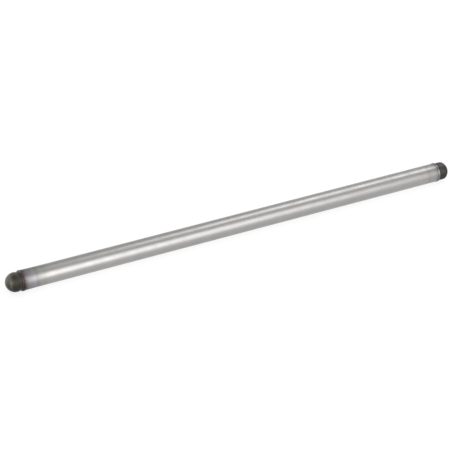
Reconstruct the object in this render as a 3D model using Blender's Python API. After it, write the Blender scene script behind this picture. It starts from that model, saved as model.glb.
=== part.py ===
"""Engine pushrod: a drawn aluminium tube with a hardened steel tip pressed into each end.

The rod lies along X. The centre of its ball is the origin, +X runs from the ball end to the dome end, and
+Z is up. All sizes are in metres.
"""

import math

import bmesh
import bpy

# The whole rod, from the top of the ball to the top of the dome.
OVERALL_LENGTH = 0.160

# The tube, drawn to a quarter of an inch. Pressing in the ball tip has swelled its end a little.
TUBE_DIAMETER = 0.00635
TUBE_WALL = 0.0012
TUBE_EDGE_BREAK = 0.00006
TUBE_SWELL = 0.00006
TUBE_SWELL_LENGTH = 0.0045

# How a tip sits in the tube: its shank in the bore, its collar against the tube's end face.
SHANK_CLEARANCE = 0.00004
SEAT_CLEARANCE = 0.00008
LEAD_IN_LENGTH = 0.0009
LEAD_IN_DEPTH = 0.0002
TIP_EDGE_BREAK = 0.00006

# The tip with the ball. Its neck is a groove between the ball and the collar.
BALL_RADIUS = 0.003115
BALL_NECK_DEPTH = 0.00036
BALL_NECK_LENGTH = 0.00008
BALL_COLLAR_LENGTH = 0.00075
BALL_COLLAR_PROUD = 0.00015
BALL_SHANK_LENGTH = 0.010

# The tip with the dome, which is the cap of a larger sphere on a short round land.
DOME_LAND_RADIUS = 0.00301
DOME_LAND_LENGTH = 0.00232
DOME_HEIGHT = 0.00174
DOME_SHOULDER_RADIUS = 0.0014
DOME_NECK_DEPTH = 0.00013
DOME_NECK_LENGTH = 0.00034
DOME_COLLAR_LENGTH = 0.00064
DOME_COLLAR_PROUD = 0.00009
DOME_SHANK_LENGTH = 0.008

# How finely the round shapes are cut into facets.
SIDES = 64
ARC_STEP = math.radians(6.0)
EDGE_SEGMENTS = 2
EDGE_ANGLE = math.radians(35.0)
MERGE_DISTANCE = 1e-7

# The finish of each metal: its linear colour and its roughness.
ALUMINIUM_COLOUR = (0.56, 0.56, 0.57)
ALUMINIUM_ROUGHNESS = 0.35
STEEL_COLOUR = (0.075, 0.068, 0.060)
STEEL_ROUGHNESS = 0.42

# What the pieces share.
TUBE_RADIUS = TUBE_DIAMETER / 2
BORE_RADIUS = TUBE_RADIUS - TUBE_WALL
SHANK_RADIUS = BORE_RADIUS - SHANK_CLEARANCE


def clear_scene():
    for thing in list(bpy.data.objects):
        bpy.data.objects.remove(thing, do_unlink=True)


def metal(name, colour, roughness):
    """A plain metal finish for one piece."""
    material = bpy.data.materials.new(name)
    material.use_nodes = True
    shader = material.node_tree.nodes["Principled BSDF"]
    shader.inputs["Base Color"].default_value = (*colour, 1.0)
    shader.inputs["Metallic"].default_value = 1.0
    shader.inputs["Roughness"].default_value = roughness
    return material


def arc(centre, offset, radius, start, end):
    """Points of an arc whose centre lies at centre along the axis and offset out from it.

    The angle is 0 along the axis and 90 degrees straight out from it.
    """
    steps = max(1, math.ceil(abs(end - start) / ARC_STEP))
    angles = [start + (end - start) * step / steps for step in range(steps + 1)]
    return [(centre + radius * math.cos(a), offset + radius * math.sin(a)) for a in angles]


def turned(name, outline, closed, material):
    """A piece turned from an outline of (distance along +X, distance from the axis) points."""
    mesh = bmesh.new()
    points = [mesh.verts.new((along, 0.0, out)) for along, out in outline]
    pairs = list(zip(points, points[1:]))
    if closed:
        pairs.append((points[-1], points[0]))
    edges = [mesh.edges.new(pair) for pair in pairs]
    bmesh.ops.spin(
        mesh,
        geom=points + edges,
        cent=(0.0, 0.0, 0.0),
        axis=(1.0, 0.0, 0.0),
        angle=2 * math.pi,
        steps=SIDES,
        use_duplicate=False,
    )
    bmesh.ops.remove_doubles(mesh, verts=mesh.verts, dist=MERGE_DISTANCE)
    bmesh.ops.recalc_face_normals(mesh, faces=mesh.faces)
    data = bpy.data.meshes.new(name)
    mesh.to_mesh(data)
    mesh.free()
    data.materials.append(material)
    piece = bpy.data.objects.new(name, data)
    bpy.context.scene.collection.objects.link(piece)
    return piece


def break_edges(piece, width):
    """Takes the burr off every sharp edge, and leaves a small fillet in every sharp corner."""
    bevel = piece.modifiers.new("edge_break", "BEVEL")
    bevel.width = width
    bevel.segments = EDGE_SEGMENTS
    bevel.limit_method = "ANGLE"
    bevel.angle_limit = EDGE_ANGLE
    bevel.use_clamp_overlap = True
    piece.data.shade_smooth()
    piece.data.set_sharp_from_angle(angle=EDGE_ANGLE)


def shank_outline(length):
    """The shank from its inner end, with the taper that leads it into the bore, to the collar's seat."""
    return [
        (-length, 0.0),
        (-length, SHANK_RADIUS - LEAD_IN_DEPTH),
        (LEAD_IN_LENGTH - length, SHANK_RADIUS),
        (0.0, SHANK_RADIUS),
    ]


def ball_outline():
    """The ball tip from the inner end of its shank to the top of the ball, measured from the seat."""
    collar_radius = TUBE_RADIUS + BALL_COLLAR_PROUD
    neck_radius = BALL_RADIUS - BALL_NECK_DEPTH
    start = math.pi - math.asin(neck_radius / BALL_RADIUS)
    return (
        shank_outline(BALL_SHANK_LENGTH)
        + [(0.0, collar_radius), (BALL_COLLAR_LENGTH, collar_radius), (BALL_COLLAR_LENGTH, neck_radius)]
        + arc(ball_centre(), 0.0, BALL_RADIUS, start, 0.0)
    )


def ball_centre():
    """How far the ball's centre lies from the collar's seat."""
    behind = math.sqrt(BALL_NECK_DEPTH * (2 * BALL_RADIUS - BALL_NECK_DEPTH))
    return BALL_COLLAR_LENGTH + BALL_NECK_LENGTH + behind


def dome_outline():
    """The dome tip from the inner end of its shank to the top of the dome, measured from the seat."""
    collar_radius = TUBE_RADIUS + DOME_COLLAR_PROUD
    neck_radius = DOME_LAND_RADIUS - DOME_NECK_DEPTH
    neck_end = DOME_COLLAR_LENGTH + DOME_NECK_LENGTH
    sphere_radius = (DOME_LAND_RADIUS**2 + DOME_HEIGHT**2) / (2 * DOME_HEIGHT)
    sphere_centre = dome_top() - sphere_radius
    shoulder = min(DOME_SHOULDER_RADIUS, DOME_HEIGHT)
    shoulder_out = DOME_LAND_RADIUS - shoulder
    shoulder_angle = math.asin(shoulder_out / (sphere_radius - shoulder))
    shoulder_along = sphere_centre + (sphere_radius - shoulder) * math.cos(shoulder_angle)
    return (
        shank_outline(DOME_SHANK_LENGTH)
        + [(0.0, collar_radius), (DOME_COLLAR_LENGTH, collar_radius), (DOME_COLLAR_LENGTH, neck_radius)]
        + [(neck_end, neck_radius), (neck_end + DOME_NECK_DEPTH, DOME_LAND_RADIUS)]
        + arc(shoulder_along, shoulder_out, shoulder, math.pi / 2, shoulder_angle)[:-1]
        + arc(sphere_centre, 0.0, sphere_radius, shoulder_angle, 0.0)
    )


def dome_top():
    """How far the top of the dome lies from the collar's seat."""
    return DOME_COLLAR_LENGTH + DOME_NECK_LENGTH + DOME_LAND_LENGTH + DOME_HEIGHT


def tube_start():
    """Where the tube's end face lies behind the ball's centre."""
    return ball_centre() + SEAT_CLEARANCE


def tube_end():
    """Where the tube's other end face lies, so that the whole rod has its length."""
    return OVERALL_LENGTH - BALL_RADIUS - dome_top() - SEAT_CLEARANCE


def make_tube():
    """A length of drawn tube, cut square, open right through, and swelled towards the ball tip."""
    outline = [
        (tube_start(), BORE_RADIUS),
        (tube_start(), TUBE_RADIUS + TUBE_SWELL),
        (tube_start() + TUBE_SWELL_LENGTH, TUBE_RADIUS),
        (tube_end(), TUBE_RADIUS),
        (tube_end(), BORE_RADIUS),
    ]
    aluminium = metal("drawn_aluminium", ALUMINIUM_COLOUR, ALUMINIUM_ROUGHNESS)
    tube = turned("tube", outline, True, aluminium)
    break_edges(tube, TUBE_EDGE_BREAK)


def make_ball_tip():
    """The tip that faces -X: its outline is measured from its seat, so it is turned about and moved."""
    outline = [(ball_centre() - along, out) for along, out in ball_outline()]
    steel = metal("hardened_steel_ball_tip", STEEL_COLOUR, STEEL_ROUGHNESS)
    break_edges(turned("ball_tip", outline, False, steel), TIP_EDGE_BREAK)


def make_dome_tip():
    """The tip that faces +X, seated on the tube's far end."""
    seat = tube_end() + SEAT_CLEARANCE
    outline = [(seat + along, out) for along, out in dome_outline()]
    steel = metal("hardened_steel_dome_tip", STEEL_COLOUR, STEEL_ROUGHNESS)
    break_edges(turned("dome_tip", outline, False, steel), TIP_EDGE_BREAK)


clear_scene()
make_tube()
make_ball_tip()
make_dome_tip()
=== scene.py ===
"""The looks of an engine pushrod: a drawn aluminium tube with a turned, hardened steel tip in each end.

The rod lies along X. The centre of its ball is the origin, +Z is up, and all sizes are in metres.
"""

import math
import bpy
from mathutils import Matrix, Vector


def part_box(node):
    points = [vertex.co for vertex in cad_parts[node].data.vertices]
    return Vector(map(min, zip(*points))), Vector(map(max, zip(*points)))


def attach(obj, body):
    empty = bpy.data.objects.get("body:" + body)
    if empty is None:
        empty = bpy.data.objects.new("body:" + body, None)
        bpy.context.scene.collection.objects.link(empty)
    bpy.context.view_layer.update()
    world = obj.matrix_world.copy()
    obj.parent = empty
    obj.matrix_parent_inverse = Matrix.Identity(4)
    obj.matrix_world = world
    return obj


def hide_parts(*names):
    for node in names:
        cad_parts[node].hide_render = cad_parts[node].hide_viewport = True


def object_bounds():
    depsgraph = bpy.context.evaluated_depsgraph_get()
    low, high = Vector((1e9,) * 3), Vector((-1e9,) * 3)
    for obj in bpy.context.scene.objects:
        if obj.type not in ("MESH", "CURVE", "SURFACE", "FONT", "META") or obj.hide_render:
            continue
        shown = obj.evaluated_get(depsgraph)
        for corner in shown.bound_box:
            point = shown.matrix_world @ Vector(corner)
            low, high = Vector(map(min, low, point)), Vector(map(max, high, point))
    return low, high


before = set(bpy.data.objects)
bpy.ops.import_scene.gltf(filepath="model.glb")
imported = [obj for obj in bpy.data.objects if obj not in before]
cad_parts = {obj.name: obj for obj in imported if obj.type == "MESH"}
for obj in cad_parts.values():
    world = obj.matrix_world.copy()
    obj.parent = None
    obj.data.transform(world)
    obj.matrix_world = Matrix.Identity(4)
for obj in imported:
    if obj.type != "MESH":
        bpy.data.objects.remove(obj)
packed_box = [list(corner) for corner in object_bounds()]


# The tube: a length of quarter-inch aluminium tube, drawn to size and polished to a satin sheen, cut square
# and broken at both end edges. The tips' collars are pressed hard against its ends, so here it reaches over
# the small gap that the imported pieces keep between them.

MILLIMETRE = 0.001
ROUND_SIDES = 160
SMOOTH_ANGLE = math.radians(35)
SAME_PLACE = 0.001 * MILLIMETRE
ALONG_ROD = (1, 0, 0)

SEAT_GAP = 0.08 * MILLIMETRE
TUBE_WALL = 1.2 * MILLIMETRE
TUBE_EDGE_BREAK = 0.06 * MILLIMETRE
TUBE_EDGE_STEPS = 3
TUBE_SWELL = 0.06 * MILLIMETRE
TUBE_SWELL_LENGTH = 4.5 * MILLIMETRE
RIM_SLACK = TUBE_WALL / 4

tube_low, tube_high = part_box("tube")
tube_start = tube_low.x - SEAT_GAP
tube_end = tube_high.x + SEAT_GAP
tube_radius = tube_high.z - TUBE_SWELL


def linear(hex_colour):
    """A linear RGBA colour from an sRGB one such as #A0B0C0."""
    parts = [int(hex_colour[at : at + 2], 16) / 255 for at in (1, 3, 5)]
    return [p / 12.92 if p <= 0.04045 else ((p + 0.055) / 1.055) ** 2.4 for p in parts] + [1.0]


def add_node(material, kind, inputs, **settings):
    """Adds a node with its settings, each input set to a value or linked to another node's output."""
    node = material.node_tree.nodes.new(kind)
    for name, value in settings.items():
        setattr(node, name, value)
    for name, value in inputs.items():
        if isinstance(value, bpy.types.NodeSocket):
            material.node_tree.links.new(value, node.inputs[name])
        else:
            node.inputs[name].default_value = value
    return node


def cut(place, facing, **kept):
    """Cuts what is selected of the open mesh with a plane, and clears away one side of it if asked."""
    bpy.ops.mesh.bisect(plane_co=place, plane_no=facing, threshold=SAME_PLACE, **kept)


def start_edit():
    """Opens the active object's mesh, with everything in it selected."""
    bpy.ops.object.transform_apply(location=True, rotation=True, scale=True)
    bpy.ops.object.mode_set(mode="EDIT")
    bpy.ops.mesh.select_mode(type="VERT")
    bpy.ops.mesh.select_all(action="SELECT")


def select_where(kind, test):
    """Selects the points or edges of the open mesh whose middle passes the test, and nothing else."""
    bpy.ops.mesh.select_mode(type="VERT" if kind == "vertices" else "EDGE")
    bpy.ops.mesh.select_all(action="DESELECT")
    bpy.ops.object.mode_set(mode="OBJECT")
    mesh = bpy.context.object.data
    for item in getattr(mesh, kind):
        corners = [item.index] if kind == "vertices" else item.vertices
        places = [mesh.vertices[corner].co for corner in corners]
        item.select = test(sum(places, Vector()) / len(places))
    bpy.ops.object.mode_set(mode="EDIT")


def on_rim(at):
    """Whether a place lies on one of the tube's four rims, outer or inner, at either end."""
    out = math.hypot(at.y, at.z)
    off_end = min(abs(at.x - tube_start), abs(at.x - tube_end))
    off_wall = min(abs(out - tube_radius), abs(out - tube_radius + TUBE_WALL))
    return off_end < SAME_PLACE and off_wall < RIM_SLACK


bpy.ops.object.select_all(action="DESELECT")
bpy.ops.mesh.primitive_cylinder_add(
    vertices=ROUND_SIDES,
    radius=tube_radius,
    depth=tube_end - tube_start,
    end_fill_type="NOTHING",
    location=((tube_start + tube_end) / 2, 0, 0),
    rotation=(0, math.pi / 2, 0),
)
tube = bpy.context.object
tube.name = "drawn_tube"
start_edit()
cut((tube_start + TUBE_SWELL_LENGTH, 0, 0), ALONG_ROD)
select_where("vertices", lambda at: abs(at.x - tube_start) < SAME_PLACE)
swelled = 1 + TUBE_SWELL / tube_radius
bpy.ops.transform.resize(value=(1, swelled, swelled), center_override=(tube_start, 0, 0))
bpy.ops.object.mode_set(mode="OBJECT")
wall = tube.modifiers.new("wall", "SOLIDIFY")
wall.thickness = TUBE_WALL
wall.offset = -1
bpy.ops.object.modifier_apply(modifier=wall.name)
start_edit()
select_where("vertices", lambda at: at.x < tube_start + TUBE_EDGE_BREAK)
bpy.ops.transform.resize(value=(0, 1, 1), center_override=(tube_start, 0, 0))
select_where("edges", on_rim)
bpy.ops.mesh.bevel(offset=TUBE_EDGE_BREAK, segments=TUBE_EDGE_STEPS, affect="EDGES")
bpy.ops.object.mode_set(mode="OBJECT")
bpy.ops.object.shade_smooth_by_angle(angle=SMOOTH_ANGLE)

# Drawn aluminium: bright and neutral, with lines along the draw that spread a highlight across the tube.
# Towards the ball end it is dulled, reddish brown at the very end, then a cool grey with darker rings where
# it was gripped and pressed; towards the dome end it is only a little smudged. Real draw lines are under a
# tenth of a millimetre wide, and these are drawn coarser so that they show.
SATIN = "#A5A4A2"
SATIN_DULL = "#979696"
SATIN_ROUGHNESS = 0.36
SMUDGED_ROUGHNESS = 0.42
DULL_ROUGHNESS = 0.58
SMUDGED_SHADE = 0.92

DRAW_LINE_WIDTH = 0.4 * MILLIMETRE
DRAW_LINE_LENGTH = 40 * MILLIMETRE
DRAW_LINE_DEPTH = 0.0025 * MILLIMETRE
SMUDGE_SIZE = 3.5 * MILLIMETRE
MOTTLE_SIZE = 0.9 * MILLIMETRE
RAGGED_BY = 0.7 * MILLIMETRE
DULL_REACH = 9 * MILLIMETRE
BALL_END_STAIN = (
    (0.0, "#847B7A"),
    (0.3, "#A19797"),
    (0.65, "#B5ACAC"),
    (1.25, "#CCCACC"),
    (1.9, "#D8D7DB"),
    (2.5, "#DBDADD"),
    (3.1, "#E6E5EA"),
    (3.6, "#E3E2E6"),
    (4.1, "#D7D6D8"),
    (5.0, "#E7E9E5"),
    (5.6, "#EFF1EB"),
    (6.4, "#EDEEE9"),
    (7.4, "#F8F7F3"),
    (9.0, "#FFFFFF"),
)
DOME_END_STAIN = (
    (0.0, "#CDCCCC"),
    (0.65, "#E2E1E1"),
    (1.3, "#F0F0F0"),
    (2.6, "#F6F6F6"),
    (3.4, "#EBEBEB"),
    (4.2, "#F5F5F5"),
    (4.8, "#FFFFFF"),
)

# Nearly all of a noise pattern lies between these two values.
NOISE_LOW = 0.3
NOISE_HIGH = 0.7

# The sockets of a Mix node that mixes colours: how much of the second, the two colours, and the outcome.
MIX_SHARE = 0
FIRST_COLOUR = 6
SECOND_COLOUR = 7
MIXED_COLOUR = 2


def tint_along(material, distance, marks):
    """A colour that follows a distance, from marks of (millimetres, colour)."""
    first = marks[0][0] * MILLIMETRE
    last = marks[-1][0] * MILLIMETRE
    share = add_node(
        material,
        "ShaderNodeMapRange",
        {"Value": distance, "From Min": first, "From Max": last},
    ).outputs["Result"]
    ramp = add_node(material, "ShaderNodeValToRGB", {"Fac": share})
    stops = ramp.color_ramp.elements
    for at, colour in marks[1:-1]:
        stops.new((at * MILLIMETRE - first) / (last - first))
    for stop, (at, colour) in zip(stops, marks):
        stop.color = linear(colour)
    return ramp.outputs["Color"]


aluminium = bpy.data.materials.new("drawn_aluminium_satin")
aluminium.use_nodes = True
surface = aluminium.node_tree.nodes["Principled BSDF"]
surface.inputs["Metallic"].default_value = 1.0
place = add_node(aluminium, "ShaderNodeTexCoord", {}).outputs["Object"]
along = add_node(aluminium, "ShaderNodeSeparateXYZ", {"Vector": place}).outputs["X"]
stretched = add_node(
    aluminium,
    "ShaderNodeMapping",
    {
        "Vector": place,
        "Scale": (1 / DRAW_LINE_LENGTH, 1 / DRAW_LINE_WIDTH, 1 / DRAW_LINE_WIDTH),
    },
).outputs["Vector"]
draw_lines = add_node(
    aluminium,
    "ShaderNodeTexNoise",
    {"Vector": stretched, "Scale": 1.0, "Detail": 3.0, "Roughness": 0.6},
).outputs["Fac"]
smudges = add_node(
    aluminium,
    "ShaderNodeTexNoise",
    {"Vector": place, "Scale": 1 / SMUDGE_SIZE, "Detail": 4.0, "Roughness": 0.6},
).outputs["Fac"]
mottle = add_node(
    aluminium,
    "ShaderNodeTexNoise",
    {"Vector": place, "Scale": 1 / MOTTLE_SIZE, "Detail": 3.0, "Roughness": 0.65},
)
ragged = add_node(
    aluminium,
    "ShaderNodeMapRange",
    {"Value": mottle.outputs["Fac"], "To Min": -RAGGED_BY, "To Max": RAGGED_BY},
).outputs["Result"]
from_ball_end = add_node(
    aluminium,
    "ShaderNodeMath",
    {0: along, 1: tube_start},
    operation="SUBTRACT",
).outputs["Value"]
from_dome_end = add_node(
    aluminium,
    "ShaderNodeMath",
    {0: tube_end, 1: along},
    operation="SUBTRACT",
).outputs["Value"]
tint = add_node(
    aluminium,
    "ShaderNodeMix",
    {MIX_SHARE: draw_lines, FIRST_COLOUR: linear(SATIN_DULL), SECOND_COLOUR: linear(SATIN)},
    data_type="RGBA",
).outputs[MIXED_COLOUR]
shades = []
for distance, stain in ((from_ball_end, BALL_END_STAIN), (from_dome_end, DOME_END_STAIN)):
    uneven = add_node(aluminium, "ShaderNodeMath", {0: distance, 1: ragged}, operation="ADD")
    shades.append(tint_along(aluminium, uneven.outputs["Value"], stain))
smudged = add_node(
    aluminium,
    "ShaderNodeMapRange",
    {
        "Value": smudges,
        "From Min": NOISE_LOW,
        "From Max": NOISE_HIGH,
        "To Min": SMUDGED_SHADE,
        "To Max": 1.0,
    },
).outputs["Result"]
for shade in shades + [smudged]:
    tint = add_node(
        aluminium,
        "ShaderNodeMix",
        {MIX_SHARE: 1.0, FIRST_COLOUR: tint, SECOND_COLOUR: shade},
        data_type="RGBA",
        blend_type="MULTIPLY",
    ).outputs[MIXED_COLOUR]
aluminium.node_tree.links.new(tint, surface.inputs["Base Color"])
smudged_roughness = add_node(
    aluminium,
    "ShaderNodeMapRange",
    {
        "Value": smudges,
        "From Min": NOISE_LOW,
        "From Max": NOISE_HIGH,
        "To Min": SMUDGED_ROUGHNESS,
        "To Max": SATIN_ROUGHNESS,
    },
).outputs["Result"]
end_roughness = add_node(
    aluminium,
    "ShaderNodeMapRange",
    {
        "Value": from_ball_end,
        "From Max": DULL_REACH,
        "To Min": DULL_ROUGHNESS,
        "To Max": SATIN_ROUGHNESS,
    },
).outputs["Result"]
roughness = add_node(
    aluminium,
    "ShaderNodeMath",
    {0: smudged_roughness, 1: end_roughness},
    operation="MAXIMUM",
).outputs["Value"]
aluminium.node_tree.links.new(roughness, surface.inputs["Roughness"])
relief = add_node(
    aluminium,
    "ShaderNodeBump",
    {"Height": draw_lines, "Strength": 1.0, "Distance": DRAW_LINE_DEPTH},
).outputs["Normal"]
aluminium.node_tree.links.new(relief, surface.inputs["Normal"])
tube.data.materials.append(aluminium)

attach(tube, "root")
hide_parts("tube")


# The ball tip: one piece of steel, turned to a ball, a neck, a collar and a shank, then hardened dark.
# Its shank is pressed into the tube's near end until the collar meets the tube.

BALL_NECK_DEPTH = 0.36 * MILLIMETRE
BALL_NECK_LENGTH = 0.08 * MILLIMETRE
BALL_COLLAR_LENGTH = 0.75 * MILLIMETRE
BALL_SHANK_LENGTH = 10 * MILLIMETRE
SHANK_RADIUS = 1.935 * MILLIMETRE
LEAD_IN_LENGTH = 0.9 * MILLIMETRE
LEAD_IN_DEPTH = 0.2 * MILLIMETRE
TIP_EDGE_BREAK = 0.06 * MILLIMETRE
TIP_EDGE_STEPS = 3
ARC_POINTS = 240
OUT_FROM_ROD = (0, 0, 1)

ball_low, ball_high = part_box("ball_tip")
ball_radius = -ball_low.x
ball_collar_radius = ball_high.z

# The ball ends in the groove of its neck, this far behind its centre.
ball_behind = math.sqrt(BALL_NECK_DEPTH * (2 * ball_radius - BALL_NECK_DEPTH))
ball_seat = ball_behind + BALL_NECK_LENGTH + BALL_COLLAR_LENGTH


def draw_outline(points):
    """Draws the outline on from the selected point, through points of (distance along, distance out)."""
    mesh = bpy.context.object.data
    bpy.ops.object.mode_set(mode="OBJECT")
    at = next(point.co.copy() for point in mesh.vertices if point.select)
    bpy.ops.object.mode_set(mode="EDIT")
    for along, out in points:
        bpy.ops.mesh.extrude_vertices_move(
            TRANSFORM_OT_translate={"value": (along - at.x, 0, out - at.z)}
        )
        at = Vector((along, 0, out))


def break_corners(corners):
    """Rounds the outline's corners a little, as the turning tool and a file do."""
    select_where(
        "vertices",
        lambda at: any(math.dist((at.x, at.z), corner) < SAME_PLACE for corner in corners),
    )
    bpy.ops.mesh.bevel(offset=TIP_EDGE_BREAK, segments=TIP_EDGE_STEPS, affect="VERTICES")


def spin_outline():
    """Turns the open outline about the rod's axis into a closed body, and leaves the mesh finished."""
    bpy.ops.mesh.select_all(action="SELECT")
    bpy.ops.mesh.spin(steps=ROUND_SIDES, angle=math.tau, center=(0, 0, 0), axis=ALONG_ROD)
    bpy.ops.mesh.select_all(action="SELECT")
    bpy.ops.mesh.remove_doubles(threshold=SAME_PLACE)
    bpy.ops.mesh.normals_make_consistent(inside=False)
    bpy.ops.object.mode_set(mode="OBJECT")
    bpy.ops.object.shade_smooth_by_angle(angle=SMOOTH_ANGLE)


bpy.ops.object.select_all(action="DESELECT")
bpy.ops.mesh.primitive_circle_add(vertices=ARC_POINTS, radius=ball_radius, rotation=(math.pi / 2, 0, 0))
ball_tip = bpy.context.object
ball_tip.name = "ball_end_tip"
start_edit()
cut((0, 0, 0), OUT_FROM_ROD, clear_inner=True)
bpy.ops.mesh.select_all(action="SELECT")
cut((ball_behind, 0, 0), ALONG_ROD, clear_outer=True)
select_where("vertices", lambda at: abs(at.x - ball_behind) < SAME_PLACE)
ball_neck_radius = ball_radius - BALL_NECK_DEPTH
ball_collar_start = ball_behind + BALL_NECK_LENGTH
ball_corners = [
    (ball_collar_start, ball_neck_radius),
    (ball_collar_start, ball_collar_radius),
    (ball_seat, ball_collar_radius),
    (ball_seat, SHANK_RADIUS),
    (ball_seat + BALL_SHANK_LENGTH - LEAD_IN_LENGTH, SHANK_RADIUS),
    (ball_seat + BALL_SHANK_LENGTH, SHANK_RADIUS - LEAD_IN_DEPTH),
]
draw_outline(ball_corners + [(ball_seat + BALL_SHANK_LENGTH, 0)])
break_corners(ball_corners)
spin_outline()

# Hardened and tempered steel: a thin dark oxide over fine turning marks, browner below and more olive
# above. Each of its colours is made paler towards the upper edge, a painted highlight, and the crown, the
# collar and the neck's film are also made darker towards their lower side, a painted shade. The cup that the
# ball rocks in has rubbed its crown to an olive grey. A faint paler streak on the ball's front upper side is
# a painted highlight. In the groove of the neck lies a dull brown film, partly baked oil and partly painted
# light: it is paler than the groove's shade would leave the steel. Real turning marks are under a tenth of
# a millimetre apart, and these are drawn coarser so that they show.
# Up as the rod lies, leaning away from the front. The colours' painted highlight lies along it, and their
# painted shade lies against it.
UPWARD = (0.0, 0.575, 0.818)
PATCH_SIZE = 1.6 * MILLIMETRE
RAGGED_EDGE = 0.12 * MILLIMETRE
UNEVEN_UPWARD = 1.6 * MILLIMETRE
TURNING_PITCH = 0.22 * MILLIMETRE
TURNING_LENGTH = 9 * MILLIMETRE
TURNING_DEPTH = 0.0015 * MILLIMETRE
TURNING_DARK = 0.88
TURNING_PALE = 1.1
OXIDE_ROUGHNESS = 0.5
RUBBED_ROUGHNESS = 0.38
OIL_FILM_ROUGHNESS = 0.7

# The sockets of a Mix node that mixes plain values.
FIRST_VALUE = 2
SECOND_VALUE = 3
MIXED_VALUE = 0


def oxidised_steel(name, skin, patches):
    """Dark steel whose skin changes from its lower to its upper side, with patches of other skins over it.

    A skin is a row of (millimetres upward, colour), paler upward as a painted highlight and in some skins
    darker downward as a painted shade. A patch is a skin, its roughness, whether it is a film that hides the
    metal, and its limits. A limit is a direction, a middle, a half width and a soft edge: it holds where the
    distance along the direction is within the half width of the middle. At most the last patch is a film.
    """
    steel = bpy.data.materials.new(name)
    steel.use_nodes = True
    surface = steel.node_tree.nodes["Principled BSDF"]
    place = add_node(steel, "ShaderNodeTexCoord", {}).outputs["Object"]
    cloudy = add_node(
        steel,
        "ShaderNodeTexNoise",
        {"Vector": place, "Scale": 1 / PATCH_SIZE, "Detail": 4.0, "Roughness": 0.65},
    ).outputs["Fac"]
    around = add_node(
        steel,
        "ShaderNodeMapping",
        {"Vector": place, "Scale": (1 / TURNING_PITCH, 1 / TURNING_LENGTH, 1 / TURNING_LENGTH)},
    ).outputs["Vector"]
    turning = add_node(
        steel,
        "ShaderNodeTexNoise",
        {"Vector": around, "Scale": 1.0, "Detail": 2.0, "Roughness": 0.6},
    ).outputs["Fac"]

    def reach(direction, uneven_by):
        """How far a place lies along a direction, made uneven by the cloudy pattern."""
        straight = add_node(
            steel,
            "ShaderNodeVectorMath",
            {0: place, 1: Vector(direction).normalized()},
            operation="DOT_PRODUCT",
        ).outputs["Value"]
        uneven = add_node(
            steel,
            "ShaderNodeMapRange",
            {"Value": cloudy, "To Min": -uneven_by, "To Max": uneven_by},
        ).outputs["Result"]
        total = add_node(steel, "ShaderNodeMath", {0: straight, 1: uneven}, operation="ADD")
        return total.outputs["Value"]

    upward = reach(UPWARD, UNEVEN_UPWARD)
    tint = tint_along(steel, upward, skin)
    surface.inputs["Metallic"].default_value = 1.0
    roughness = OXIDE_ROUGHNESS
    for patch_skin, patch_roughness, patch_is_film, limits in patches:
        share = 1.0
        for direction, middle, half_width, edge in limits:
            off = add_node(
                steel,
                "ShaderNodeMath",
                {0: reach(direction, RAGGED_EDGE), 1: middle},
                operation="SUBTRACT",
            ).outputs["Value"]
            away = add_node(steel, "ShaderNodeMath", {0: off}, operation="ABSOLUTE").outputs["Value"]
            inside = add_node(
                steel,
                "ShaderNodeMapRange",
                {"Value": away, "From Min": half_width + edge / 2, "From Max": half_width - edge / 2},
                interpolation_type="SMOOTHSTEP",
            ).outputs["Result"]
            share = add_node(
                steel,
                "ShaderNodeMath",
                {0: share, 1: inside},
                operation="MULTIPLY",
            ).outputs["Value"]
        tint = add_node(
            steel,
            "ShaderNodeMix",
            {
                MIX_SHARE: share,
                FIRST_COLOUR: tint,
                SECOND_COLOUR: tint_along(steel, upward, patch_skin),
            },
            data_type="RGBA",
        ).outputs[MIXED_COLOUR]
        roughness = add_node(
            steel,
            "ShaderNodeMix",
            {MIX_SHARE: share, FIRST_VALUE: roughness, SECOND_VALUE: patch_roughness},
        ).outputs[MIXED_VALUE]
        if patch_is_film:
            bare = add_node(
                steel,
                "ShaderNodeMix",
                {MIX_SHARE: share, FIRST_VALUE: 1.0, SECOND_VALUE: 0.0},
            ).outputs[MIXED_VALUE]
            steel.node_tree.links.new(bare, surface.inputs["Metallic"])
    marks = add_node(
        steel,
        "ShaderNodeMapRange",
        {
            "Value": turning,
            "From Min": NOISE_LOW,
            "From Max": NOISE_HIGH,
            "To Min": TURNING_DARK,
            "To Max": TURNING_PALE,
        },
    ).outputs["Result"]
    marked = add_node(
        steel,
        "ShaderNodeMix",
        {MIX_SHARE: 1.0, FIRST_COLOUR: tint, SECOND_COLOUR: marks},
        data_type="RGBA",
        blend_type="MULTIPLY",
    ).outputs[MIXED_COLOUR]
    steel.node_tree.links.new(marked, surface.inputs["Base Color"])
    steel.node_tree.links.new(roughness, surface.inputs["Roughness"])
    relief = add_node(
        steel,
        "ShaderNodeBump",
        {"Height": turning, "Strength": 1.0, "Distance": TURNING_DEPTH},
    ).outputs["Normal"]
    steel.node_tree.links.new(relief, surface.inputs["Normal"])
    return steel


# Each colour row below grows paler towards its top, a painted highlight. The collar's and the crown's rows
# also darken towards their bottom, a painted shade.
BALL_OXIDE_AND_PAINTED_LIGHT = (
    (-2.5, "#393430"),
    (-0.9, "#34302C"),
    (0.0, "#36322E"),
    (0.9, "#3D3A36"),
    (2.1, "#434340"),
    (3.0, "#74746E"),
)
BALL_COLLAR_AND_PAINTED_LIGHT = (
    (-2.5, "#38332F"),
    (-0.5, "#3D3833"),
    (0.5, "#453F3A"),
    (2.1, "#454540"),
    (3.0, "#75746F"),
)
BALL_CROWN_AND_PAINTED_LIGHT = (
    (-2.2, "#403F3E"),
    (-0.9, "#484740"),
    (0.0, "#575650"),
    (0.9, "#6D6C66"),
    (2.5, "#78776F"),
)
# A painted highlight: a paler streak around the ball, kept to its front upper side.
BALL_PAINTED_HIGHLIGHT_STREAK = ((-2.0, "#484740"), (-0.6, "#615F54"), (0.2, "#7A786C"))
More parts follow.
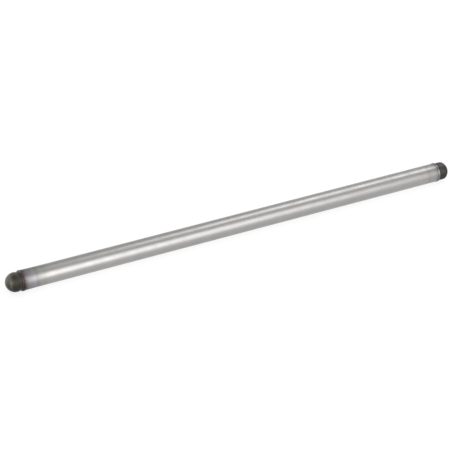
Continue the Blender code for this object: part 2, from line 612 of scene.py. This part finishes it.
# The neck's film is partly baked oil and partly painted light: it is paler than the groove's shade would
# leave the steel. It is also darker below, a painted shade, and paler above, a painted highlight.
BALL_NECK_FILM_AND_PAINTED_LIGHT = (
    (-2.5, "#211E1A"),
    (-0.8, "#302C27"),
    (0.1, "#443E38"),
    (1.0, "#322E29"),
    (2.1, "#34322D"),
    (3.0, "#6A6863"),
)
CROWN_TOWARDS = (-1.0, 0.03, 0.045)
CROWN_FROM = 1.34 * MILLIMETRE
CROWN_EDGE = 0.9 * MILLIMETRE
STREAK_AT = 1.9 * MILLIMETRE
STREAK_HALF_WIDTH = 0.2 * MILLIMETRE
STREAK_TOWARDS = (-1.8, -2.28, 1.16)
STREAK_REACH = 0.33 * MILLIMETRE
STREAK_EDGE = 0.3 * MILLIMETRE
BALL_COLLAR_EDGE = 0.1 * MILLIMETRE
FILM_AHEAD_OF_COLLAR = 0.3 * MILLIMETRE
FILM_HALF_WIDTH = 0.36 * MILLIMETRE
FILM_EDGE = 0.16 * MILLIMETRE
ball_patches = (
    (
        BALL_CROWN_AND_PAINTED_LIGHT,
        RUBBED_ROUGHNESS,
        False,
        [(CROWN_TOWARDS, ball_radius, ball_radius - CROWN_FROM, CROWN_EDGE)],
    ),
    (
        BALL_PAINTED_HIGHLIGHT_STREAK,
        RUBBED_ROUGHNESS,
        False,
        [
            (CROWN_TOWARDS, STREAK_AT, STREAK_HALF_WIDTH, STREAK_EDGE),
            (STREAK_TOWARDS, ball_radius, STREAK_REACH, STREAK_EDGE),
        ],
    ),
    (
        BALL_COLLAR_AND_PAINTED_LIGHT,
        OXIDE_ROUGHNESS,
        False,
        [(ALONG_ROD, ball_seat, BALL_COLLAR_LENGTH, BALL_COLLAR_EDGE)],
    ),
    (
        BALL_NECK_FILM_AND_PAINTED_LIGHT,
        OIL_FILM_ROUGHNESS,
        True,
        [(ALONG_ROD, ball_collar_start - FILM_AHEAD_OF_COLLAR, FILM_HALF_WIDTH, FILM_EDGE)],
    ),
)
ball_tip.data.materials.append(oxidised_steel("oxidised_steel_painted_light_ball_end", BALL_OXIDE_AND_PAINTED_LIGHT, ball_patches))

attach(ball_tip, "root")
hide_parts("ball_tip")


# The dome tip: turned from the same steel to a thin collar, a shallow neck, a short land and a blunt dome.
# Its shank is pressed into the tube's far end until the collar meets the tube.

DOME_LAND_RADIUS = 3.01 * MILLIMETRE
DOME_HEIGHT = 1.74 * MILLIMETRE
DOME_SHOULDER_RADIUS = 1.4 * MILLIMETRE
DOME_NECK_DEPTH = 0.13 * MILLIMETRE
DOME_NECK_LENGTH = 0.34 * MILLIMETRE
DOME_COLLAR_LENGTH = 0.64 * MILLIMETRE
DOME_SHANK_LENGTH = 8 * MILLIMETRE

dome_low, dome_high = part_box("dome_tip")
dome_collar_radius = dome_high.z
dome_top = dome_high.x
dome_seat = dome_low.x + DOME_SHANK_LENGTH
dome_neck_start = dome_seat + DOME_COLLAR_LENGTH
dome_neck_end = dome_neck_start + DOME_NECK_LENGTH
dome_neck_radius = DOME_LAND_RADIUS - DOME_NECK_DEPTH

# The dome is the cap of a larger sphere, and a rounded shoulder joins it to the land.
cap_radius = (DOME_LAND_RADIUS**2 + DOME_HEIGHT**2) / (2 * DOME_HEIGHT)
shoulder_out = DOME_LAND_RADIUS - DOME_SHOULDER_RADIUS
shoulder_angle = math.asin(shoulder_out / (cap_radius - DOME_SHOULDER_RADIUS))
shoulder_along = dome_top - cap_radius + (cap_radius - DOME_SHOULDER_RADIUS) * math.cos(shoulder_angle)
meeting_along = shoulder_along + DOME_SHOULDER_RADIUS * math.cos(shoulder_angle)

bpy.ops.object.select_all(action="DESELECT")
bpy.ops.mesh.primitive_circle_add(
    vertices=ARC_POINTS,
    radius=cap_radius,
    location=(dome_top - cap_radius, 0, 0),
    rotation=(math.pi / 2, 0, 0),
)
dome_tip = bpy.context.object
dome_tip.name = "dome_end_tip"
start_edit()
cut((0, 0, 0), OUT_FROM_ROD, clear_inner=True)
bpy.ops.mesh.select_all(action="SELECT")
cut((meeting_along, 0, 0), ALONG_ROD, clear_inner=True)
bpy.ops.mesh.select_all(action="DESELECT")
bpy.ops.mesh.primitive_circle_add(
    vertices=ARC_POINTS,
    radius=DOME_SHOULDER_RADIUS,
    location=(shoulder_along, 0, shoulder_out),
    rotation=(math.pi / 2, 0, 0),
)
cut((meeting_along, 0, 0), ALONG_ROD, clear_outer=True)
select_where("vertices", lambda at: at.x < meeting_along + SAME_PLACE)
cut((shoulder_along, 0, 0), ALONG_ROD, clear_inner=True)
select_where("vertices", lambda at: at.x < meeting_along + SAME_PLACE)
cut((0, 0, shoulder_out), OUT_FROM_ROD, clear_inner=True)
bpy.ops.mesh.select_all(action="SELECT")
bpy.ops.mesh.remove_doubles(threshold=SAME_PLACE)
select_where("vertices", lambda at: abs(at.x - shoulder_along) < SAME_PLACE)
dome_corners = [
    (dome_neck_end + DOME_NECK_DEPTH, DOME_LAND_RADIUS),
    (dome_neck_end, dome_neck_radius),
    (dome_neck_start, dome_neck_radius),
    (dome_neck_start, dome_collar_radius),
    (dome_seat, dome_collar_radius),
    (dome_seat, SHANK_RADIUS),
    (dome_seat - DOME_SHANK_LENGTH + LEAD_IN_LENGTH, SHANK_RADIUS),
    (dome_seat - DOME_SHANK_LENGTH, SHANK_RADIUS - LEAD_IN_DEPTH),
]
draw_outline(dome_corners + [(dome_seat - DOME_SHANK_LENGTH, 0)])
break_corners(dome_corners)
spin_outline()

# The same dark steel, more neutral, and paler on top, a painted highlight; the crown rubbed at its end is
# paler on top in the same way. Its collar is nearly as pale as the tube and bare, its colour shifting a
# little from side to side, with a darker band a little above its middle, a painted shade that dims its
# highlight.
DOME_OXIDE_AND_PAINTED_LIGHT = ((-2.5, "#3A3936"), (0.5, "#3E3C3A"), (2.5, "#52514F"))
DOME_CROWN_AND_PAINTED_LIGHT = ((-2.5, "#3D3C39"), (0.5, "#413F3D"), (2.5, "#555452"))
# The collar's darker stop a little above its middle is painted shade that dims its highlight.
DOME_COLLAR_AND_PAINTED_SHADE = ((-2.5, "#767374"), (0.0, "#787772"), (0.8, "#6F6C6E"), (2.5, "#757471"))
DOME_CROWN_DEPTH = 0.9 * MILLIMETRE
DOME_CROWN_EDGE = 0.4 * MILLIMETRE
DOME_COLLAR_EDGE = 0.2 * MILLIMETRE
dome_patches = (
    (
        DOME_CROWN_AND_PAINTED_LIGHT,
        RUBBED_ROUGHNESS,
        False,
        [(ALONG_ROD, dome_top, DOME_CROWN_DEPTH, DOME_CROWN_EDGE)],
    ),
    (
        DOME_COLLAR_AND_PAINTED_SHADE,
        RUBBED_ROUGHNESS,
        False,
        [(ALONG_ROD, dome_seat, DOME_COLLAR_LENGTH, DOME_COLLAR_EDGE)],
    ),
)
dome_tip.data.materials.append(oxidised_steel("oxidised_steel_painted_light_dome_end", DOME_OXIDE_AND_PAINTED_LIGHT, dome_patches))

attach(dome_tip, "root")
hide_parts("dome_tip")


# The floor: a white sheet, lit from within as a photographer's light table is, so that hardly a shadow
# shows. It lies flat under the rod and reaches far past the picture's edges.

FLOOR_SIZE = 6.0
SHEET_SKIN = "#757575"
WHITE = "#FFFFFF"
FLOOR_GLOW = 0.8
FLOOR_ROUGHNESS = 0.8

bpy.ops.object.select_all(action="DESELECT")
bpy.ops.mesh.primitive_plane_add(size=FLOOR_SIZE, location=(0, 0, packed_box[0][2]))
floor = bpy.context.object
floor.name = "floor"
bpy.ops.object.transform_apply(location=True, rotation=True, scale=True)
sheet = bpy.data.materials.new("white_sheet")
sheet.use_nodes = True
surface = sheet.node_tree.nodes["Principled BSDF"]
surface.inputs["Base Color"].default_value = linear(SHEET_SKIN)
surface.inputs["Roughness"].default_value = FLOOR_ROUGHNESS
surface.inputs["Emission Color"].default_value = linear(WHITE)
surface.inputs["Emission Strength"].default_value = FLOOR_GLOW
floor.data.materials.append(sheet)


# The light: a pale room that is brighter towards its walls, with a wide soft box in front of the rod, a
# second one to its left, and one overhead towards the dome end.

ROOM_LOW = 1.0
ROOM_HIGH = 0.66
ROOM_EVEN_FROM = 0.8
WATTS_PER_RADIANCE = 4

room = bpy.data.worlds.new("pale_room")
room.use_nodes = True
bpy.context.scene.world = room
bpy.context.scene.view_settings.view_transform = "Standard"
direction = add_node(room, "ShaderNodeTexCoord", {}).outputs["Generated"]
height = add_node(room, "ShaderNodeSeparateXYZ", {"Vector": direction}).outputs["Z"]
brightness = add_node(
    room,
    "ShaderNodeMapRange",
    {"Value": height, "From Max": ROOM_EVEN_FROM, "To Min": ROOM_LOW, "To Max": ROOM_HIGH},
).outputs["Result"]
backdrop = room.node_tree.nodes["Background"]
backdrop.inputs["Color"].default_value = linear(WHITE)
room.node_tree.links.new(brightness, backdrop.inputs["Strength"])


def soft_box(name, degrees_up, distance, along, width, height, radiance):
    """A soft light that faces the rod from so many degrees up from the front, and so far along the rod.

    Its radiance is a quarter of its watts per square metre.
    """
    angle = math.radians(degrees_up)
    light = bpy.data.lights.new(name, "AREA")
    light.shape = "RECTANGLE"
    light.size = width
    light.size_y = height
    light.energy = WATTS_PER_RADIANCE * width * height * radiance
    lamp = bpy.data.objects.new(name, light)
    lamp.location = (along, -distance * math.cos(angle), distance * math.sin(angle))
    lamp.rotation_euler = (math.pi / 2 - angle, 0, 0)
    lamp.visible_camera = False
    bpy.context.scene.collection.objects.link(lamp)


soft_box("front_box", degrees_up=24.5, distance=1.2, along=0.14, width=2.0, height=1.0, radiance=1.65)
soft_box("left_box", degrees_up=27, distance=1.19, along=-0.25, width=1.4, height=1.4, radiance=0.75)
soft_box("top_box", degrees_up=106, distance=1.0, along=0.93, width=1.0, height=0.52, radiance=2.35)


# The camera: to the left of the rod's middle and above it, so that the ball end is the nearer one. Its place
# and lens give the photograph's view, in which the rod narrows towards the dome end.

AIM = (72.135 * MILLIMETRE, 0.0, 0.347 * MILLIMETRE)
AZIMUTH = math.radians(-26.109)
ELEVATION = math.radians(32.237)
DISTANCE = 487.2 * MILLIMETRE
FOCAL_LENGTH = 119.469
SENSOR_WIDTH = 36
NEAREST_SEEN = 10 * MILLIMETRE

lens = bpy.data.cameras.new("camera")
lens.lens = FOCAL_LENGTH
lens.sensor_width = SENSOR_WIDTH
lens.clip_start = NEAREST_SEEN
camera = bpy.data.objects.new("camera", lens)
back = Vector(
    (
        math.sin(AZIMUTH) * math.cos(ELEVATION),
        -math.cos(AZIMUTH) * math.cos(ELEVATION),
        math.sin(ELEVATION),
    )
)
camera.location = Vector(AIM) + back * DISTANCE
camera.rotation_euler = (-back).to_track_quat("-Z", "Y").to_euler()
bpy.context.scene.collection.objects.link(camera)
bpy.context.scene.camera = camera
